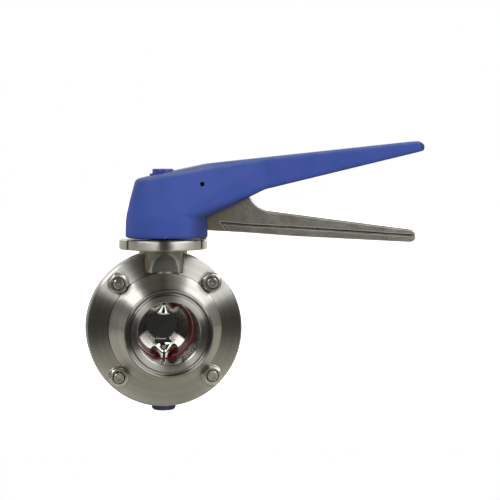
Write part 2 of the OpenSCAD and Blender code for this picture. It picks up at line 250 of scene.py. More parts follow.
# Where an edge is rubbed: the surface normal and a rounded one differ near every edge
edge_wear, given, result = effect_group(
    "edge wear", [("Width", "Float", 0.4 * mm), ("Amount", "Float", 0.5)], ["Edge"])
rounded = add_node(edge_wear, "ShaderNodeBevel", {"Radius": given["Width"]}, samples=4).outputs["Normal"]
plain = add_node(edge_wear, "ShaderNodeNewGeometry").outputs["Normal"]
match = add_node(edge_wear, "ShaderNodeVectorMath", {0: rounded, 1: plain},
                 operation="DOT_PRODUCT").outputs["Value"]
edge = arithmetic(edge_wear, "MULTIPLY", spread(edge_wear, match, 0, 1, 0.99, 0.82), given["Amount"])
edge_wear.links.new(edge, result["Edge"])

# Heat tint beside the two upright welds of the neck, in mm from the plane that they lie in
weld_x = 10.9 * mm
heat_tint, given, result = effect_group(
    "heat tint", [("Vector", "Vector", None), ("Width", "Float", 5 * mm)], ["Tint"])
weld_place = parts_of(heat_tint, given["Vector"])
beside = arithmetic(heat_tint, "ABSOLUTE", weld_place["X"])
beside = arithmetic(heat_tint, "ABSOLUTE", arithmetic(heat_tint, "SUBTRACT", beside, weld_x))
reach = add_node(heat_tint, "ShaderNodeTexNoise", {"Vector": given["Vector"], "Scale": 260.0,
                                                   "Detail": 3.0}).outputs["Fac"]
reach = arithmetic(heat_tint, "MULTIPLY", given["Width"], spread(heat_tint, reach, 0.1, 1.6, 0.3, 0.7))
near = arithmetic(heat_tint, "SUBTRACT", 1.0, arithmetic(heat_tint, "DIVIDE", beside, reach))
near = add_node(heat_tint, "ShaderNodeClamp", {"Value": near}).outputs["Result"]
high = spread(heat_tint, weld_place["Z"], 0, 1, 29 * mm, 34 * mm)
low = spread(heat_tint, weld_place["Z"], 1, 0, 41 * mm, 46 * mm)
near = arithmetic(heat_tint, "MULTIPLY", arithmetic(heat_tint, "MULTIPLY", near, high), low)
near = arithmetic(heat_tint, "MULTIPLY", near, spread(heat_tint, weld_place["X"], 1, 0.45, -4 * mm, 4 * mm))
heat_tint.links.new(near, result["Tint"])


def new_finish(name, metallic=0.0):
    """A material with its tree, its shader and the object coordinates."""
    material = bpy.data.materials.new(name)
    material.use_nodes = True
    tree = material.node_tree
    shader = tree.nodes["Principled BSDF"]
    shader.inputs["Metallic"].default_value = metallic
    return material, tree, shader, add_node(tree, "ShaderNodeTexCoord").outputs["Object"]


def effect(tree, group, **links):
    """Places a shared effect; a link's name is the socket's, with _ for a space."""
    node = add_node(tree, "ShaderNodeGroup", node_tree=group)
    for name, value in links.items():
        socket = node.inputs[name.replace("_", " ")]
        if isinstance(value, bpy.types.NodeSocket):
            tree.links.new(value, socket)
        else:
            socket.default_value = value
    return node.outputs


def raise_surface(tree, shader, height, depth, strength=1.0):
    bump = add_node(tree, "ShaderNodeBump", {"Height": height, "Distance": depth, "Strength": strength})
    tree.links.new(bump.outputs["Normal"], shader.inputs["Normal"])


def turned_steel(name, about_z=False, pitch=0.25 * mm, roughness=(0.29, 0.37), bore=0.0,
                 painted_corner_shade=()):
    """Stainless steel with lathe rings about Y or Z; inside the bore radius it is polished.
    Thin dark rings of painted shade sit in corners and grooves, each given by its radius and where along Y
    it starts and ends."""
    material, tree, shader, place = new_finish(name, metallic=1.0)
    rings_place = place
    if about_z:
        turn = add_node(tree, "ShaderNodeMapping", {"Vector": place, "Rotation": (math.radians(90), 0, 0)})
        rings_place = turn.outputs["Vector"]
    rings = effect(tree, turning_marks, Vector=rings_place, Pitch=pitch)
    clouds = effect(tree, mottle, Vector=place, Patch_Size=14 * mm)
    worn = effect(tree, edge_wear, Width=0.35 * mm, Amount=0.7)
    tint = effect(tree, heat_tint, Vector=place, Width=2.6 * mm)
    steel = ramp(tree, rings["Bands"], [(0.3, (0.50, 0.49, 0.45)), (0.7, (0.60, 0.59, 0.555))])
    steel = blend(tree, spread(tree, clouds["Patches"], 0, 0.5, 0.35, 0.75), steel, (0.50, 0.485, 0.42))
    steel = blend(tree, worn["Edge"], steel, (0.80, 0.80, 0.79))
    steel = blend(tree, spread(tree, tint["Tint"], 0, 0.75, 0, 0.8), steel, (0.26, 0.20, 0.11))
    depth = arithmetic(tree, "ABSOLUTE", parts_of(tree, place)["Y"])
    # Painted shade: thin dark rings at the given radii stand for the shadow in groove corners and under
    # steps
    for groove_r, start_h, end_h in painted_corner_shade:
        outside = arithmetic(tree, "MULTIPLY", spread(tree, depth, 0, 0.85, start_h - 0.2 * mm, start_h),
                             spread(tree, depth, 1, 0, end_h, end_h + 0.4 * mm))
        away = arithmetic(tree, "ABSOLUTE", arithmetic(tree, "SUBTRACT", rings["Radius"], groove_r))
        near = spread(tree, away, 1, 0, 0.1 * mm, 0.34 * mm)
        steel = blend(tree, arithmetic(tree, "MULTIPLY", near, outside), steel, (0.10, 0.10, 0.085))
    tree.links.new(steel, shader.inputs["Base Color"])
    rough = spread(tree, rings["Grooves"], *roughness, 0.3, 0.7)
    polished = spread(tree, rings["Radius"], 1, 0, bore + 0.1 * mm, bore + 0.3 * mm)
    rough = arithmetic(tree, "SUBTRACT", rough, arithmetic(tree, "MULTIPLY", polished, 0.17))
    tree.links.new(rough, shader.inputs["Roughness"])
    shader.inputs["Anisotropic"].default_value = 1.0
    shader.inputs["Anisotropic Rotation"].default_value = 0.25
    grain = add_node(tree, "ShaderNodeTangent", direction_type="RADIAL", axis="Z" if about_z else "Y")
    tree.links.new(grain.outputs["Tangent"], shader.inputs["Tangent"])
    raise_surface(tree, shader, rings["Grooves"], 0.003 * mm)
    return material


def finish_node(name, material):
    """Gives a CAD node its finish."""
    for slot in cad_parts[name].material_slots:
        slot.material = material


def softened(outline, steps=4):
    """An outline of (across, along, radius) corners with each corner rounded by its radius."""
    points = []
    for i, (across, along, radius) in enumerate(outline):
        corner = Vector((across, along))
        if radius == 0:
            points.append(corner)
            continue
        arms = []
        for other in (outline[i - 1], outline[(i + 1) % len(outline)]):
            arm = Vector(other[:2]) - corner
            arms.append((arm.normalized(), arm.length))
        angle = arms[0][0].angle(arms[1][0])
        reach = min(radius / math.tan(angle / 2), 0.48 * arms[0][1], 0.48 * arms[1][1])
        start, end = (corner + arm * reach for arm, length in arms)
        for step in range(steps + 1):
            t = step / steps
            points.append(start * (1 - t) ** 2 + corner * 2 * t * (1 - t) + end * t ** 2)
    return points


def skin(rings, closed=False):
    """Vertices and faces through rings of equal length, capped at both ends or closed on themselves."""
    count = len(rings[0])
    vertices = [point for ring in rings for point in ring]
    faces = []
    for i in range(len(rings) if closed else len(rings) - 1):
        here, there = i * count, (i + 1) % len(rings) * count
        faces += [(here + k, here + (k + 1) % count, there + (k + 1) % count, there + k)
                  for k in range(count)]
    if not closed:
        faces.append(tuple(range(count - 1, -1, -1)))
        faces.append(tuple((len(rings) - 1) * count + k for k in range(count)))
    return vertices, faces


def new_mesh(name, vertices, faces):
    mesh = bpy.data.meshes.new(name)
    mesh.from_pydata([tuple(v) for v in vertices], [], faces)
    form = bmesh.new()
    form.from_mesh(mesh)
    bmesh.ops.remove_doubles(form, verts=form.verts, dist=1e-7)
    bmesh.ops.recalc_face_normals(form, faces=form.faces)
    form.to_mesh(mesh)
    form.free()
    return mesh


def in_mm(rows):
    return [tuple(value * mm for value in row) for row in rows]


def turned(outline, to_place, steps=128, hollow=True):
    """The rings of an outline of (radius, height) points turned about an axis; a hollow one closes on
    itself, and a solid one gets flat ends.
    to_place makes a point of the frame from across, sideways and height."""
    return skin([[to_place(radius * math.cos(2 * math.pi * k / steps),
                           radius * math.sin(2 * math.pi * k / steps), height)
                  for k in range(steps)] for radius, height in outline], closed=hollow)


def about_flow(side):
    """Heights run forwards along the flow axis for side -1, and backwards for 1."""
    return lambda across, sideways, height: (across, side * height, sideways)


def about_stem(across, sideways, height):
    return (across, sideways, height)


def new_object(name, mesh):
    piece = bpy.data.objects.new(name, mesh)
    bpy.context.collection.objects.link(piece)
    return piece


def solid(name, shape):
    """An object from the vertices and faces of a skin."""
    return new_object(name, new_mesh(name, *shape))


def applied(piece):
    """Turns a piece's modifiers into plain mesh."""
    shaped = piece.evaluated_get(bpy.context.evaluated_depsgraph_get())
    mesh = bpy.data.meshes.new_from_object(shaped)
    piece.modifiers.clear()
    piece.data = mesh
    return piece


def carve(piece, cutters, operation="DIFFERENCE"):
    """Cuts the cutters from a piece, or joins them to it, and throws the cutters away."""
    for cutter in cutters:
        change = piece.modifiers.new("carve", "BOOLEAN")
        change.operation, change.solver, change.object = operation, "EXACT", cutter
        applied(piece)
        bpy.data.objects.remove(cutter)
    return piece


def settle(piece, material, body, nodes=(), crease=32):
    """Smooths a piece between its creases, gives it its finish and fixes it to its body."""
    mesh = piece.data
    mesh.materials.clear()
    mesh.materials.append(material)
    mesh.polygons.foreach_set("material_index", [0] * len(mesh.polygons))
    mesh.polygons.foreach_set("use_smooth", [True] * len(mesh.polygons))
    mesh.set_sharp_from_angle(angle=math.radians(crease))
    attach(piece, body)
    if nodes:
        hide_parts(*nodes)
    return piece


def rod(name, radius, start, end, to_place, steps=64):
    """A plain round cutter."""
    centre_r = radius * 0.001
    return solid(name, turned([(centre_r, start), (radius, start), (radius, end), (centre_r, end)],
                              to_place, steps, hollow=False))


def steps_between(start, end, count):
    return [start + (end - start) * i / count for i in range(count + 1)]


def merged(parts):
    """One list of vertices and one of faces from several."""
    vertices, faces = [], []
    for part_vertices, part_faces in parts:
        start = len(vertices)
        vertices += part_vertices
        faces += [tuple(start + i for i in face) for face in part_faces]
    return vertices, faces


bore_r = 17.8 * mm
flange_r = -cad_box[0].x
rim_face_h = 8.6 * mm           # flange face at its rim
spot_h = 8.8 * mm               # floor of the spot faces
spot_r = 6.7 * mm
past_face_h = 20 * mm           # the cutters run past the flange face
bolt_circle_r = 38.3 * mm
bolt_hole_r = 3.3 * mm
bush_hole_r = 7.05 * mm
pocket_run = 2 * mm             # how far a stem hole runs into the seat's pocket
bolt_angles = [math.radians(a) for a in (45, 135, 225, 315)]
# The dark rings are painted shade in the ferrule's groove and rim corners and at the foot of the hub's step
lathe_steel = turned_steel("lathe_steel", bore=bore_r, painted_corner_shade=(
    (21.9 * mm, 33.4 * mm, 36 * mm), (23.65 * mm, 33.4 * mm, 36 * mm), (25.1 * mm, 33.4 * mm, 36 * mm),
    (32.75 * mm, 8 * mm, 9.8 * mm)))


def bolt_spot(angle, side):
    """Places a point of a bolt, whose own axis is the height, on the bolt circle."""
    centre = Vector((math.cos(angle), 0, math.sin(angle))) * bolt_circle_r
    return lambda across, sideways, height: (
        centre.x + across, side * height, centre.z + sideways)


half_outline = softened(in_mm([
    (17.8, 6.25, 0), (26.05, 6.25, 0), (26.05, 0, 0), (45.24, 0, 0.15), (45.24, 7.7, 0.2),
    (44.4, 8.6, 0.2), (32.55, 9.5, 0.25), (32.55, 12.6, 0.2), (31.35, 13.8, 0.25), (20, 28.6, 1.2),
    (20, 30.3, 0.5), (24.9, 32.1, 0.3), (25.25, 32.5, 0.2), (25.25, 34.6, 0.25), (24.85, 35, 0.2),
    (23.75, 35, 0.12), (23.5, 33.7, 0.3), (22.8, 33.5, 0.3), (22.1, 33.7, 0.3), (21.85, 35, 0.12),
    (18.2, 35, 0.25), (17.8, 34.6, 0.25)]))
neck_foot_z = 26.6 * mm
neck_r = 14 * mm
neck_core_r = 10.5 * mm
neck_relief_r = 33.9 * mm       # hollow at the neck's foot, round the hub
above_neck_z = 60 * mm
slip = 0.05 * mm                # gap between pieces that slide together


for name, side in (("front_body_half", -1), ("rear_body_half", 1)):
    half = solid(name + "_turned", turned(half_outline, about_flow(side), 192))
    cutters = []
    for angle in bolt_angles:
        cutters.append(rod("bolt_hole", bolt_hole_r, -1 * mm, past_face_h, bolt_spot(angle, side), 48))
        cutters.append(rod("spot_face", spot_r, spot_h, past_face_h, bolt_spot(angle, side), 72))
    cutters.append(rod("lower_bush_hole", bush_hole_r, -flange_r - 2 * mm, -neck_foot_z + pocket_run,
                       about_stem))
    cutters.append(rod("neck_core_hole", neck_core_r + slip, neck_foot_z - pocket_run, above_neck_z,
                       about_stem))
    relief = rod("relief", neck_relief_r - slip, -flange_r, flange_r, about_flow(1), 192)
    neck_hole = rod("neck_hole", neck_r + slip, neck_foot_z, above_neck_z, about_stem, 96)
    cutters.append(carve(neck_hole, [relief]))
    settle(carve(half, cutters), lathe_steel, "valve_body", [name], crease=28)

# ---- Neck and index plate ----
# A turned tube welded between the flanges carries the stem and the index plate, a thick disc with
# latch notches. The plate and the tube were turned about the stem axis.
ring_steel = turned_steel("ring_steel", about_z=True)
neck_steel = turned_steel("neck_steel", about_z=True, roughness=(0.42, 0.54))
plate_low, plate_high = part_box("index_plate")
plate_r = -plate_low.x
spigot_r = 8 * mm
shoulder_z = 33 * mm
neck_outline = softened([(r, z, edge * mm) for r, z, edge in (
    (bush_hole_r, neck_foot_z, 0), (neck_core_r, neck_foot_z, 0), (neck_core_r, shoulder_z, 0),
    (neck_r, shoulder_z, 0), (neck_r, plate_low.z, 0), (spigot_r, plate_low.z, 0),
    (spigot_r, plate_high.z, 0.2), (bush_hole_r, plate_high.z, 0))])
neck = solid("turned_neck", turned(neck_outline, about_stem, 160))
hub_clearance = solid("hub_clearance", turned(
    [(neck_relief_r, -20 * mm), (neck_relief_r, 20 * mm)], about_flow(1), 192, hollow=False))
core = rod("core", neck_core_r, neck_foot_z - 1 * mm, 40 * mm, about_stem, 96)
hub_clearance = carve(hub_clearance, [core])
arch_outline = softened(in_mm([
    (33.0, 11.7, 0), (36.0, 11.75, 2.0), (40.6, 12.7, 4.0), (44.2, 14.25, 0), (44.2, 16, 0),
    (33.0, 16, 0)]), 8)
arches = [solid("arch", turned(arch_outline, about_flow(side), 192)) for side in (-1, 1)]
settle(carve(neck, [hub_clearance] + arches), neck_steel, "valve_body", ["neck_tube"],
       crease=20)

plate_edge = 0.9 * mm
plate_outline = softened([(spigot_r + slip, plate_low.z, 0), (plate_r, plate_low.z, plate_edge),
                          (plate_r, plate_high.z, plate_edge), (spigot_r + slip, plate_high.z, 0)], 6)
plate = solid("notched_plate", turned(plate_outline, about_stem, 192))


def plate_slot(angle, inner_r, width):
    """A cutter through the plate's rim at an angle about the stem."""
    ahead = Vector((math.cos(angle), math.sin(angle), 0))
    across = Vector((-math.sin(angle), math.cos(angle), 0)) * (width / 2)
    corners = [ahead * inner_r - across, ahead * 30 * mm - across,
               ahead * 30 * mm + across, ahead * inner_r + across]
    return solid("plate_slot", skin(
        [[(c.x, c.y, z) for c in corners] for z in (plate_low.z - 1 * mm, plate_high.z + 1 * mm)]))


notch_floor_r, notch_w = 21.5 * mm, 4.2 * mm
nick_depth, nick_w = 2.2 * mm, 2 * mm
notches = [plate_slot(math.radians(a), notch_floor_r, notch_w) for a in range(0, 91, 15)]
notches += [plate_slot(math.radians(a), plate_r - nick_depth, nick_w) for a in (-35, -148)]
settle(carve(plate, notches), ring_steel, "valve_body", ["index_plate"], crease=35)


def mottled_finish(name, patch_size, stops, roughness, metallic=0.0, grain_depth=0.0):
    """A plain finish: patches of slightly different colour, a speckled gloss and perhaps a grain."""
    material, tree, shader, place = new_finish(name, metallic)
    clouds = effect(tree, mottle, Vector=place, Patch_Size=patch_size)
    tree.links.new(ramp(tree, clouds["Patches"], stops), shader.inputs["Base Color"])
    tree.links.new(spread(tree, clouds["Speckle"], *roughness, 0.3, 0.7), shader.inputs["Roughness"])
    if grain_depth:
        raise_surface(tree, shader, clouds["Speckle"], grain_depth)
    return material


# Upright weld beads where the neck meets the flange faces, running over the flange rim between them
weld_steel = mottled_finish("weld_steel", 3 * mm, [
    (0.3, (0.16, 0.11, 0.05)), (0.5, (0.34, 0.29, 0.20)), (0.7, (0.50, 0.47, 0.40))],
    (0.35, 0.55), metallic=1.0, grain_depth=0.05 * mm)
bead_r = 0.55 * mm
bead_foot_z = 34.4 * mm
bead_top_z = math.sqrt(flange_r ** 2 - weld_x ** 2)


def tube(path, radius_at, sides=12):
    """The rings of a round tube along a path; radius_at gives its radius at each point."""
    rings = []
    for i, point in enumerate(path):
        ahead = (path[min(i + 1, len(path) - 1)] - path[max(i - 1, 0)]).normalized()
        across = ahead.cross(Vector((0.31, 0.2, 0.93)) if abs(ahead.z) < 0.9 else Vector((1, 0, 0)))
        across.normalize()
        up = across.cross(ahead)
        rings.append([point + (across * math.cos(2 * math.pi * k / sides)
                               + up * math.sin(2 * math.pi * k / sides)) * radius_at(i)
                      for k in range(sides)])
    return skin(rings)


def ripple(i):
    """A hand-laid bead swells and shrinks along its run."""
    return bead_r * (1 + 0.16 * math.sin(i * 0.9) + 0.12 * math.sin(i * 0.37 + 1))


beads = []
for side in (-1, 1):
    front = [Vector((side * weld_x, -rim_face_h, bead_foot_z + (bead_top_z - bead_foot_z) * i / 40))
             for i in range(41)]
    over = [Vector((side * weld_x, y, bead_top_z)) for y in steps_between(-rim_face_h, rim_face_h, 40)]
    back = [Vector((v.x, -v.y, v.z)) for v in reversed(front)]
    beads.append(tube(front + over[1:-1] + back, ripple))
settle(solid("weld_beads", merged(beads)), weld_steel, "valve_body", crease=60)

# ---- Seat ring and bushes ----
# A dark red silicone ring clamped between the halves seals the disc; nylon bushes guide the stems.
silicone = mottled_finish("silicone", 6 * mm, [
    (0.3, (0.20, 0.008, 0.010)), (0.7, (0.27, 0.014, 0.016))], (0.28, 0.42))
finish_node("seat_ring", silicone)
navy = mottled_finish("navy_plastic", 6 * mm, [
    (0.3, (0.010, 0.013, 0.07)), (0.7, (0.015, 0.02, 0.09))], (0.4, 0.5))
for name in ("upper_bush", "lower_bush"):
    finish_node(name, navy)

# ---- Disc and stems ----
# The disc is an investment casting, mirror-polished: a lens with a boss at each end of its upright
# diameter, blended into it by hand. The stem ends sit in the bosses; O-rings seal the upper one.
mirror, tree, shader, place = new_finish("mirror_steel", metallic=1.0)
clouds = effect(tree, mottle, Vector=place, Patch_Size=8 * mm)
tree.links.new(ramp(tree, clouds["Patches"], [(0.3, (0.58, 0.57, 0.56)), (0.7, (0.67, 0.665, 0.65))]),
               shader.inputs["Base Color"])
tree.links.new(spread(tree, clouds["Patches"], 0.05, 0.10, 0.3, 0.7), shader.inputs["Roughness"])
disc_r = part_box("disc")[1].x
disc_half_t = 3.8 * mm
rim_half_t = 1.3 * mm
rise = disc_half_t - rim_half_t
lens_r = (disc_r ** 2 + rise ** 2) / (2 * rise)
boss_depth = 5.9 * mm
boss_half_w = 8.6 * mm
boss_start_z, boss_full_z = 6.5 * mm, 14.2 * mm


def disc_half_depth(x, z):
    """Distance of the disc's face from its middle plane: a lens that swells into the bosses."""
    r2 = x * x + z * z
    lens = math.sqrt(lens_r ** 2 - min(r2, disc_r ** 2)) - lens_r + disc_half_t
    rising = max(0.0, min(1.0, (abs(z) - boss_start_z) / (boss_full_z - boss_start_z)))
    rising = rising * rising * (3 - 2 * rising)
    across = math.cos(math.pi / 2 * min(1.0, abs(x) / boss_half_w)) ** 2
    depth = lens + (boss_depth - lens) * rising * across
    return min(depth, max(rim_half_t, math.sqrt(max(disc_r ** 2 - r2, 0))))


disc_circles, disc_steps = 110, 288
disc_rings = []
for side in (-1, 1):
    for i in range(disc_circles):
        share = (i + 0.5) / disc_circles if side == -1 else 1 - (i + 0.5) / disc_circles
        r = disc_r * min(1.0, share * 1.005)
        ring = []
        for k in range(disc_steps):
            angle = 2 * math.pi * k / disc_steps
            x, z = r * math.cos(angle), r * math.sin(angle)
            ring.append((x, side * disc_half_depth(x, z), z))
        disc_rings.append(ring)
polished_disc = solid("polished_disc", skin(disc_rings))
socket_r, socket_run = 5.05 * mm, 8 * mm
sockets = [rod("socket", socket_r, z, z + socket_run, about_stem) for z in (12.5 * mm, -20.5 * mm)]
settle(carve(polished_disc, sockets), mirror, "handle", ["disc"], crease=40)
for name in ("upper_stem", "lower_trunnion"):
    finish_node(name, mirror)

rubber = mottled_finish("black_rubber", 3 * mm, [(0.3, 0.015), (0.7, 0.03)], (0.4, 0.6))
finish_node("stem_o_rings", rubber)

# ---- Bolts, nuts and washers ----
# Four M6 stainless bolts clamp the halves; their threaded ends stand a little proud of the nuts.
fastener, tree, shader, place = new_finish("fastener_steel", metallic=1.0)
clouds = effect(tree, mottle, Vector=place, Patch_Size=3 * mm)
worn = effect(tree, edge_wear, Width=0.3 * mm, Amount=0.8)
steel = ramp(tree, clouds["Patches"], [(0.3, (0.52, 0.50, 0.44)), (0.7, (0.70, 0.69, 0.63))])
tree.links.new(blend(tree, worn["Edge"], steel, (0.88, 0.88, 0.86)), shader.inputs["Base Color"])
tree.links.new(spread(tree, clouds["Speckle"], 0.23, 0.37, 0.3, 0.7), shader.inputs["Roughness"])

bolt_r = 3 * mm
across_flats = 10 * mm
thread_pitch = 1 * mm
thread_depth = 0.55 * mm
washer_t = 1.2 * mm
nut_h = 5 * mm
head_h = 4 * mm
bolt_end_h = -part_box("flange_bolts")[0].y
nut_turns = [math.radians(a) for a in (8, 24, 41, 17)]
round_steps = 72


def hexagon_r(angle, corner_r):
    """Radius of the hexagon at an angle, with its corners turned down to corner_r."""
    from_flat = (angle + math.pi / 6) % (math.pi / 3) - math.pi / 6
    return min(across_flats / 2 / math.cos(from_flat), corner_r)


def thread_r(angle, height):
    phase = (height / thread_pitch - angle / (2 * math.pi)) % 1
    return bolt_r - thread_depth * max(0.0, 1 - abs(phase - 0.5) * 2.4)


def rings_of(radius_at, heights, to_place, turn=0.0):
    angles = [2 * math.pi * k / round_steps for k in range(round_steps)]
    return [[to_place(radius_at(a, h) * math.cos(a + turn), radius_at(a, h) * math.sin(a + turn), h)
             for a in angles] for h in heights]


def bolt_radius(angle, height):
    """Radius of a bolt at a height; heights run from the back of the head to the threaded end."""
    head_face = -spot_h - washer_t
    if height < head_face:
        top = head_face - head_h
        return hexagon_r(angle, across_flats / 2 + 0.1 * mm + (height - top) * 1.8)
    if height < nut_h:
        return bolt_r - 0.05 * mm
    chamfer_r = bolt_r - 0.1 * mm - max(0.0, height - bolt_end_h + 0.4 * mm)
    return min(thread_r(angle, height), chamfer_r)


bolt_heights = (
    steps_between(-spot_h - washer_t - head_h, -spot_h - washer_t - head_h + 0.8 * mm, 5)
    + [-spot_h - washer_t - 0.01 * mm, -spot_h - washer_t, nut_h - 0.01 * mm]
    + steps_between(nut_h, bolt_end_h, 88))
bolts, nuts = [], []
for angle, turn in zip(bolt_angles, nut_turns):
    spot = bolt_spot(angle, -1)
    rings = rings_of(bolt_radius, bolt_heights, spot, turn)
    for inner_r, height in ((1.1 * mm, bolt_end_h), (0.6 * mm, bolt_end_h - 0.05 * mm),
                            (0.3 * mm, bolt_end_h - 0.35 * mm)):
        rings += rings_of(lambda a, h, r=inner_r: r, [height], spot, turn)
    bolts.append(skin(rings))
    low, high = spot_h + washer_t, spot_h + washer_t + nut_h

    def nut_radius(a, h, low=low, high=high):
        return hexagon_r(a, across_flats / 2 - 0.15 * mm + min(h - low, high - h) * 1.9)

    outside = rings_of(nut_radius, steps_between(low, low + 0.5 * mm, 5)
                       + steps_between(high - 0.5 * mm, high, 5), spot, turn)
    mouth = [(3.75 * mm, high), (3.1 * mm, high - 1.3 * mm), (3.1 * mm, low + 0.65 * mm), (3.75 * mm, low)]
    inside = [rings_of(lambda a, h, r=r: r, [h], spot, turn)[0] for r, h in mouth]
    nuts.append(skin(outside + inside, closed=True))
settle(solid("threaded_bolts", merged(bolts)), fastener, "valve_body", ["flange_bolts"])
settle(solid("hexagon_nuts", merged(nuts)), fastener, "valve_body", ["flange_nuts"])

washer_outline = softened(in_mm([
    (3.2, 0, 0.1), (6, 0, 0.1), (6, 1.2, 0.35), (3.2, 1.2, 0.1)]))
for name, side in (("nut_washers", -1), ("head_washers", 1)):
    rings = [(r, h + spot_h) for r, h in washer_outline]
    parts = [turned(rings, bolt_spot(angle, side), 64) for angle in bolt_angles]
    settle(solid("round_" + name, merged(parts)),
           fastener, "valve_body", [name])

# ---- Handle shell ----
# One moulding of blue nylon: a round head drawn out into a lever arm, hollow and ribbed underneath.
# Its faces carry the faint grain of the mould and its edges are rubbed pale; a paler band on its upper
# edges is painted sheen, and its tip and undersides are painted darker as shade.
nylon, tree, shader, place = new_finish("blue_nylon")
clouds = effect(tree, mottle, Vector=place, Patch_Size=16 * mm)
worn = effect(tree, edge_wear, Width=0.7 * mm, Amount=0.35)
blue = ramp(tree, clouds["Patches"], [
    (0.32, (0.019, 0.046, 0.222)), (0.55, (0.021, 0.049, 0.240)), (0.72, (0.033, 0.046, 0.250))])
blue = blend(tree, worn["Edge"], blue, (0.10, 0.14, 0.32))
facing = parts_of(tree, add_node(tree, "ShaderNodeTexCoord").outputs["Normal"])
facing_up = facing["Z"]
# Painted sheen: faces sloping upwards are blended towards a pale grey-blue, as the light's reflection on
# the top edge
painted_top_sheen = arithmetic(tree, "MULTIPLY", spread(tree, facing_up, 0, 1, 0.25, 0.6),
                      spread(tree, facing_up, 1, 0, 0.80, 0.95))
painted_top_sheen = arithmetic(tree, "MULTIPLY", painted_top_sheen, spread(tree, clouds["Patches"], 0.5, 1, 0.4, 0.65))
blue = blend(tree, painted_top_sheen, blue, (0.085, 0.11, 0.185))
# Painted shade: faces turned downwards are darkened
blue = blend(tree, spread(tree, facing_up, 0.6, 0, -0.9, -0.5), blue, (0.010, 0.018, 0.075))
# Painted shade: faces turned towards the tip are darkened
blue = blend(tree, spread(tree, facing["X"], 0, 0.75, 0.35, 0.7), blue, (0.010, 0.016, 0.075))
tree.links.new(blue, shader.inputs["Base Color"])
tree.links.new(spread(tree, clouds["Speckle"], 0.52, 0.64, 0.3, 0.7), shader.inputs["Roughness"])
shader.inputs["Specular IOR Level"].default_value = 0.3
raise_surface(tree, shader, clouds["Speckle"], 0.012 * mm)

arm_half_w = 11 * mm
edge_r = 2 * mm
knee = (27 * mm, 95.8 * mm)             # where the steep head slope meets the arm
head_slope, arm_slope = 0.2126, 0.106
arm_foot = (58 * mm, 80.5 * mm)         # where the steep underside meets the arm
foot_slope, underside_slope = 0.486, 0.236
tip_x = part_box("handle_shell")[1].x
skirt_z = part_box("handle_shell")[0].z
skirt_r = 22 * mm
skirt_shift = 4.6 * mm                  # how far the head is drawn out towards the arm
hollow_half_w = 7.2 * mm
roof_t = 3.2 * mm
pivot = (21.1 * mm, 83.9 * mm)          # trigger pivot, in side view


def top_z(x):
    return knee[1] + (head_slope if x < knee[0] else arm_slope) * (x - knee[0])


def under_z(x):
    return arm_foot[1] + (foot_slope if x < arm_foot[0] else underside_slope) * (x - arm_foot[0])


def ball(centre, radius, steps=24):
    """Points of a ball that a hull is stretched over."""
    points = [(centre[0], centre[1], centre[2] + side * radius) for side in (-1, 1)]
    for i in range(1, steps // 2):
        up = math.pi * i / (steps // 2)
        points += [(centre[0] + radius * math.sin(up) * math.cos(2 * math.pi * k / steps),
                    centre[1] + radius * math.sin(up) * math.sin(2 * math.pi * k / steps),
                    centre[2] + radius * math.cos(up)) for k in range(steps)]
    return points


def arm_section(x):
    return [point for side in (-1, 1) for z in (under_z(x) + edge_r, top_z(x) - edge_r)
            for point in ball((x, side * (arm_half_w - edge_r), z), edge_r)]


def head_slice(z, radius, steps=96):
    """A level slice through the head, drawn out towards the arm."""
    return [(shift + radius * math.cos(2 * math.pi * k / steps),
             radius * math.sin(2 * math.pi * k / steps), z)
            for shift in (0, skirt_shift) for k in range(steps)]


def head_top():
    """The rounded rim of the head's top, tilted with the slope of the head."""
    rim_r, round_r, tilt = 13.8 * mm, 3 * mm, math.radians(12)
    turn = Matrix.Rotation(-tilt, 3, "Y")
    centre = Vector((0, 0, top_z(0) - round_r / math.cos(tilt)))
    points = []
    for k in range(72):
        angle = 2 * math.pi * k / 72
        for i in range(17):
            bend = math.pi * (i / 16 - 0.25)
            r = rim_r + round_r * math.cos(bend)
            points.append(centre + turn @ Vector((r * math.cos(angle), r * math.sin(angle),
                                                  round_r * math.sin(bend))))
    return points


def hull(name, points):
    """A skin stretched over points."""
    form = bmesh.new()
    for point in points:
        form.verts.new(point)
    bmesh.ops.remove_doubles(form, verts=form.verts, dist=1e-6)
    shape = bmesh.ops.convex_hull(form, input=form.verts)
    inside = {v for v in shape["geom_interior"] + shape["geom_unused"]
              if isinstance(v, bmesh.types.BMVert)}
    bmesh.ops.delete(form, geom=list(inside), context="VERTS")
    bmesh.ops.dissolve_limit(form, angle_limit=math.radians(0.05), verts=form.verts, edges=form.edges)
    bmesh.ops.recalc_face_normals(form, faces=form.faces)
    mesh = bpy.data.meshes.new(name)
    form.to_mesh(mesh)
    form.free()
    return new_object(name, mesh)


def side_plate(name, outline, half_w, shift=0.0):
    """A plate of a side view outline of (x, z) points, from -half_w to half_w about y = shift."""
    return solid(name, skin([[(x, shift + side * half_w, z) for x, z in outline] for side in (-1, 1)]))


def block(name, low, high):
    return side_plate(name, [(low[0], low[2]), (high[0], low[2]), (high[0], high[2]), (low[0], high[2])],
                      (high[1] - low[1]) / 2, (high[1] + low[1]) / 2)


def cross_rod(name, radius, half_l, centre, steps=48):
    """A round rod along Y."""
    return rod(name, radius, -half_l, half_l,
               lambda a, b, h: (centre[0] + a, h, centre[1] + b), steps)


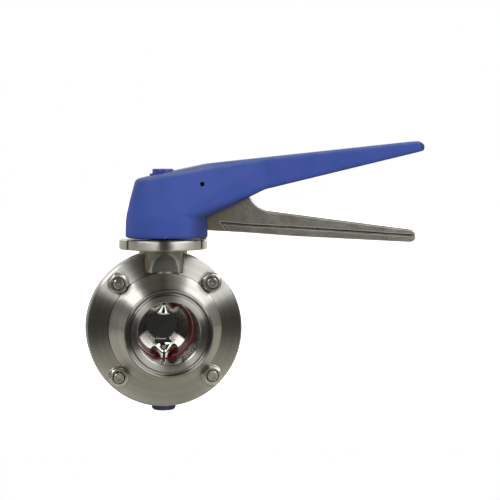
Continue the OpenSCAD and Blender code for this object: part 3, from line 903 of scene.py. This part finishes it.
skirt = hull("skirt", head_slice(skirt_z, skirt_r - 0.7 * mm)
             + head_slice(skirt_z + 0.25 * mm, skirt_r - 0.2 * mm)
             + head_slice(skirt_z + 0.8 * mm, skirt_r) + head_slice(62 * mm, skirt_r - 0.3 * mm)
             + head_slice(66.2 * mm, skirt_r - 0.8 * mm))
upper_head = hull("upper_head", head_slice(65 * mm, skirt_r - 0.62 * mm)
                  + head_slice(66.2 * mm, skirt_r - 0.8 * mm) + head_slice(75 * mm, skirt_r - 2.9 * mm)
                  + head_slice(81.7 * mm, skirt_r - 5 * mm) + head_top()
                  + arm_section(knee[0]) + arm_section(arm_foot[0]))
tip_balls = []
for back, half_w, drop, radius in ((4.2, 9.6, 0.0, 1.4), (1.1, 6.6, 1.9, 1.1)):
    x = tip_x - back * mm
    for z in (top_z(x) - (radius + drop) * mm, under_z(x) + radius * mm):
        tip_balls += [point for side in (-1, 1)
                      for point in ball((x, side * (half_w - radius) * mm, z), radius * mm)]
arm = hull("arm", arm_section(arm_foot[0]) + tip_balls)
button_seat_z = 89.9 * mm
button_boss = rod("button_boss", 7.7 * mm, 80 * mm, button_seat_z, about_stem, 96)

below_skirt_z = skirt_z - 5 * mm        # the cutters run out past the open underside
hollow_start, hollow_end = 13.6 * mm, 148 * mm
hollow = side_plate("hollow", [
    (hollow_start, below_skirt_z), (hollow_start, top_z(hollow_start) - roof_t),
    (knee[0], top_z(knee[0]) - roof_t), (hollow_end, top_z(hollow_end) - roof_t),
    (hollow_end, below_skirt_z)], hollow_half_w)
rib_t, rib_lift, rib_h = 2 * mm, 3 * mm, 20 * mm
ribs = [block("rib", (x * mm, -arm_half_w, under_z(x * mm) + rib_lift),
              (x * mm + rib_t, arm_half_w, under_z(x * mm) + rib_lift + rib_h)) for x in range(68, 133, 16)]
hollow = carve(hollow, ribs)
wall_t, centre_boss_r = 3 * mm, 12.8 * mm
cavity = rod("cavity", skirt_r - wall_t, below_skirt_z, 72 * mm, about_stem, 96)
cavity = carve(cavity, [rod("centre_boss", centre_boss_r, skirt_z + 0.8 * mm, 80 * mm, about_stem, 64)])
insert_r = 17.1 * mm / math.sqrt(3)     # corners of the hexagonal insert's hole
insert_hole = [(insert_r * math.cos(math.pi * k / 3), insert_r * math.sin(math.pi * k / 3))
               for k in range(6)]
insert_seat = solid("insert_seat", skin(
    [[(x, y, z) for x, y in insert_hole] for z in (54.15 * mm, 78.05 * mm)]))
stem_hole_r, screw_hole_r, button_recess_r, pin_hole_r = 6 * mm, 5.4 * mm, 6.5 * mm, 1.4 * mm
nick_half_w = 0.6 * mm                  # small nick in the front edge of the skirt
cutters = [
    hollow, cavity, insert_seat,
    rod("stem_hole", stem_hole_r, below_skirt_z, 55 * mm, about_stem),
    rod("screw_hole", screw_hole_r, 77 * mm, 97 * mm, about_stem),
    rod("button_recess", button_recess_r, button_seat_z, 99 * mm, about_stem),
    cross_rod("pin_hole", pin_hole_r, 44 * mm, pivot),
    block("nick", (-nick_half_w, -skirt_r - 2 * mm, skirt_z - 1 * mm),
          (nick_half_w, -skirt_r + 4 * mm, skirt_z + 1.3 * mm)),
]


def melted(piece, grain, passes):
    """Melts the creases of a skin together, as the blended corners of a mould are."""
    remesh = piece.modifiers.new("even_grain", "REMESH")
    remesh.mode, remesh.voxel_size = "VOXEL", grain
    melt = piece.modifiers.new("melt", "SMOOTH")
    melt.factor, melt.iterations = 0.5, passes
    return applied(piece)


def even_normals(piece, weight=50):
    """Lets large faces lead the shading, so that they look flat and their edges round."""
    even = piece.modifiers.new("even_normals", "WEIGHTED_NORMAL")
    even.keep_sharp = True
    even.weight = weight


melt_grain, melt_passes = 0.6 * mm, 14
handle_shell = melted(carve(skirt, [upper_head, arm], "UNION"), melt_grain, melt_passes)
handle_shell = carve(handle_shell, [button_boss], "UNION")
handle_shell = carve(handle_shell, cutters)
handle_shell.name = "moulded_handle"
settle(handle_shell, nylon, "handle", ["handle_shell"], crease=24)
even_normals(handle_shell, weight=80)

# ---- Cap plug, drive insert, screw and its washer ----
# A glossy blue plug closes the hole over the screw that holds the handle on the stem's square end;
# the hexagonal insert under it is steel, moulded into the nylon.
cap_plastic = mottled_finish("cap_plastic", 7 * mm, [
    (0.3, (0.030, 0.036, 0.21)), (0.7, (0.050, 0.045, 0.25))], (0.22, 0.34))
plug_outline = softened(in_mm([
    (4.8, 85.2, 0), (5.3, 86, 0.3), (5.3, 89.9, 0), (6.2, 89.9, 0.15),
    (6.2, 92.7, 0.9), (4.6, 92.7, 0.6), (4.3, 92.45, 0.5), (3.0, 92.4, 0)]))
settle(solid("round_cap_plug", turned(plug_outline, about_stem, 96, hollow=False)),
       cap_plastic, "handle", ["cap_plug"])
for name in ("handle_screw", "screw_washer"):
    finish_node(name, fastener)

# ---- Trigger ----
# A satin stainless casting: a web behind the fingers' hollow, a raised rib along the top of the
# grip, and a recessed, rounded lower strip. Its faces turned towards the tip, the hollow among them, are
# painted bright as a highlight, and its upward faces are painted dark as a reflection of the ceiling. A
# tooth on its root locks into the index plate.
casting, tree, shader, place = new_finish("cast_steel", metallic=1.0)
clouds = effect(tree, mottle, Vector=place, Patch_Size=9 * mm)
worn = effect(tree, edge_wear, Width=1.1 * mm, Amount=0.9)
cast = ramp(tree, clouds["Patches"], [
    (0.30, (0.27, 0.255, 0.21)), (0.55, (0.38, 0.366, 0.322)), (0.72, (0.45, 0.44, 0.40))])
root = arithmetic(tree, "MULTIPLY", spread(tree, parts_of(tree, place)["X"], 0.7, 0, 30 * mm, 60 * mm),
                  spread(tree, clouds["Patches"], 0.3, 1, 0.35, 0.6))
cast = blend(tree, root, cast, (0.22, 0.18, 0.105))
grain = effect(tree, mottle, Vector=place, Patch_Size=30 * mm)["Speckle"]
cast = blend(tree, spread(tree, grain, 0.55, 0, 0.36, 0.6), cast, (0.16, 0.155, 0.13))
cast = blend(tree, worn["Edge"], cast, (0.80, 0.79, 0.76))
facing = parts_of(tree, add_node(tree, "ShaderNodeTexCoord").outputs["Normal"])
# Painted highlight: faces turned towards the tip are blended towards pale steel, and made glossier too
painted_tipward_highlight = spread(tree, facing["X"], 0, 1, 0.2, 0.6)
cast = blend(tree, painted_tipward_highlight, cast, (0.80, 0.79, 0.76))
# Painted reflection: upward faces away from the tip are darkened, as a dark reflection of the ceiling
painted_top_darkening = arithmetic(tree, "MULTIPLY", spread(tree, facing["Z"], 0, 0.8, 0.3, 0.6),
                  spread(tree, facing["X"], 1, 0, 0.2, 0.5))
cast = blend(tree, painted_top_darkening, cast, (0.09, 0.088, 0.075))
tree.links.new(cast, shader.inputs["Base Color"])
rough = spread(tree, clouds["Speckle"], 0.34, 0.48, 0.3, 0.7)
rough = arithmetic(tree, "SUBTRACT", rough, arithmetic(tree, "MULTIPLY", painted_tipward_highlight, 0.14))
tree.links.new(rough, shader.inputs["Roughness"])
raise_surface(tree, shader, clouds["Speckle"], 0.035 * mm)

trigger_half_w = 5.5 * mm
rib_half_w = 2.2 * mm                   # what is left between the two rebates
rebate_cut = 3 * mm                     # half the thickness of each rebate's cutter
strip_half_w = 4.6 * mm
web_edge, strip_edge = 1.0 * mm, 1.5 * mm
tooth_half_w, tooth_edge = 1.8 * mm, 0.35 * mm
spring_room_r, spring_room_start, spring_room_end = 9 * mm, 2 * mm, 12 * mm
pin_clearance_r = 1.58 * mm
eye_r = 6 * mm
throat_r = 15.4 * mm                    # hollow curve of the trigger behind the fingers
throat = (64.57 * mm, 82.97 * mm)
grip_end = (146.6 * mm, 52.7 * mm)
grip_end_r = 3.7 * mm


def arc(centre, radius, start, end, steps):
    """Points of an arc, with its angles in degrees."""
    return [(centre[0] + radius * math.cos(math.radians(a)), centre[1] + radius * math.sin(math.radians(a)))
            for a in steps_between(start, end, steps)]


trigger_outline = (
    arc(pivot, eye_r, 190, 80, 18) + in_mm([(40, 87.4)]) + arc(throat, throat_r, 172, 262.7, 26)
    + arc(grip_end, grip_end_r, 82.7, -92.6, 24)
    + in_mm([(77.4, 53.0), (49, 55.3), (36.8, 56.1), (19.2, 57.2)]))
rebate_outline = in_mm([(160, 52.8), (86.9, 58.1), (49, 60.4), (32.6, 62.1), (36.8, 56.1),
                        (37.5, 50), (160, 45)])
strip_outline = (
    arc(grip_end, grip_end_r, -8, -92.6, 14)
    + in_mm([(77.4, 53.0), (49, 55.3), (38.1, 56.0), (35.3, 60.5), (49, 59.05), (86.9, 56.75),
             (148.6, 52.2)]))


def rounded_plate(name, outline, half_w, edge, steps=3):
    """A plate with its outer edges rounded over."""
    plate = side_plate(name, outline, half_w)
    round_over = plate.modifiers.new("round_over", "BEVEL")
    round_over.width, round_over.segments, round_over.limit_method = edge, steps, "ANGLE"
    round_over.angle_limit = math.radians(50)
    return applied(plate)


tooth_outline = in_mm([(21.9, 60), (25.3, 60), (25.3, 46.5), (21.9, 46.5)])
trigger = rounded_plate("web", trigger_outline, trigger_half_w, web_edge, 5)
trigger = carve(trigger, [
    side_plate("rebate", rebate_outline, rebate_cut, side * (rib_half_w + rebate_cut)) for side in (-1, 1)])
trigger = carve(trigger, [rounded_plate("lower_strip", strip_outline, strip_half_w, strip_edge, 6),
                          rounded_plate("tooth", tooth_outline, tooth_half_w, tooth_edge)], "UNION")
trigger = carve(trigger, [
    rod("spring_room", spring_room_r, spring_room_start, spring_room_end,
        lambda a, b, h: (pivot[0] + a, h, pivot[1] + b), 64),
    cross_rod("pin_clearance", pin_clearance_r, 20 * mm, pivot)])
trigger.name = "cast_trigger"
settle(trigger, casting, "trigger", ["trigger"], crease=30)
even_normals(trigger)

# ---- Trigger pin and spring ----
# A blackened roll pin carries the trigger, and a torsion spring round it pushes the grip down.
spring_steel = mottled_finish("spring_steel", 2 * mm, [
    (0.3, (0.05, 0.05, 0.055)), (0.7, (0.11, 0.11, 0.115))], (0.3, 0.45), metallic=1.0)
finish_node("trigger_pin", spring_steel)
wire_r, coil_r, coil_turns = 0.55 * mm, 3.4 * mm, 3
coil_pitch = 1.14 * mm
coil = [Vector((math.cos(a) * coil_r, math.sin(a) * coil_r, (a / (2 * math.pi) + 0.5) * coil_pitch))
        for a in steps_between(0, 2 * math.pi * coil_turns, coil_turns * 32)]
wire = ([coil[0] - Vector((0, y, 0)) * mm for y in (9, 5, 1)] + coil
        + [coil[-1] + Vector((0, y, 0)) * mm for y in (1, 4.2)])
spring_y = 7.1 * mm
wire = [Vector((pivot[0] + p.x, spring_y - p.z, pivot[1] + p.y)) for p in wire]
settle(solid("wound_spring", tube(wire, lambda i: wire_r, 14)),
       spring_steel, "handle", ["trigger_spring"], crease=60)
finish_node("drive_insert", fastener)
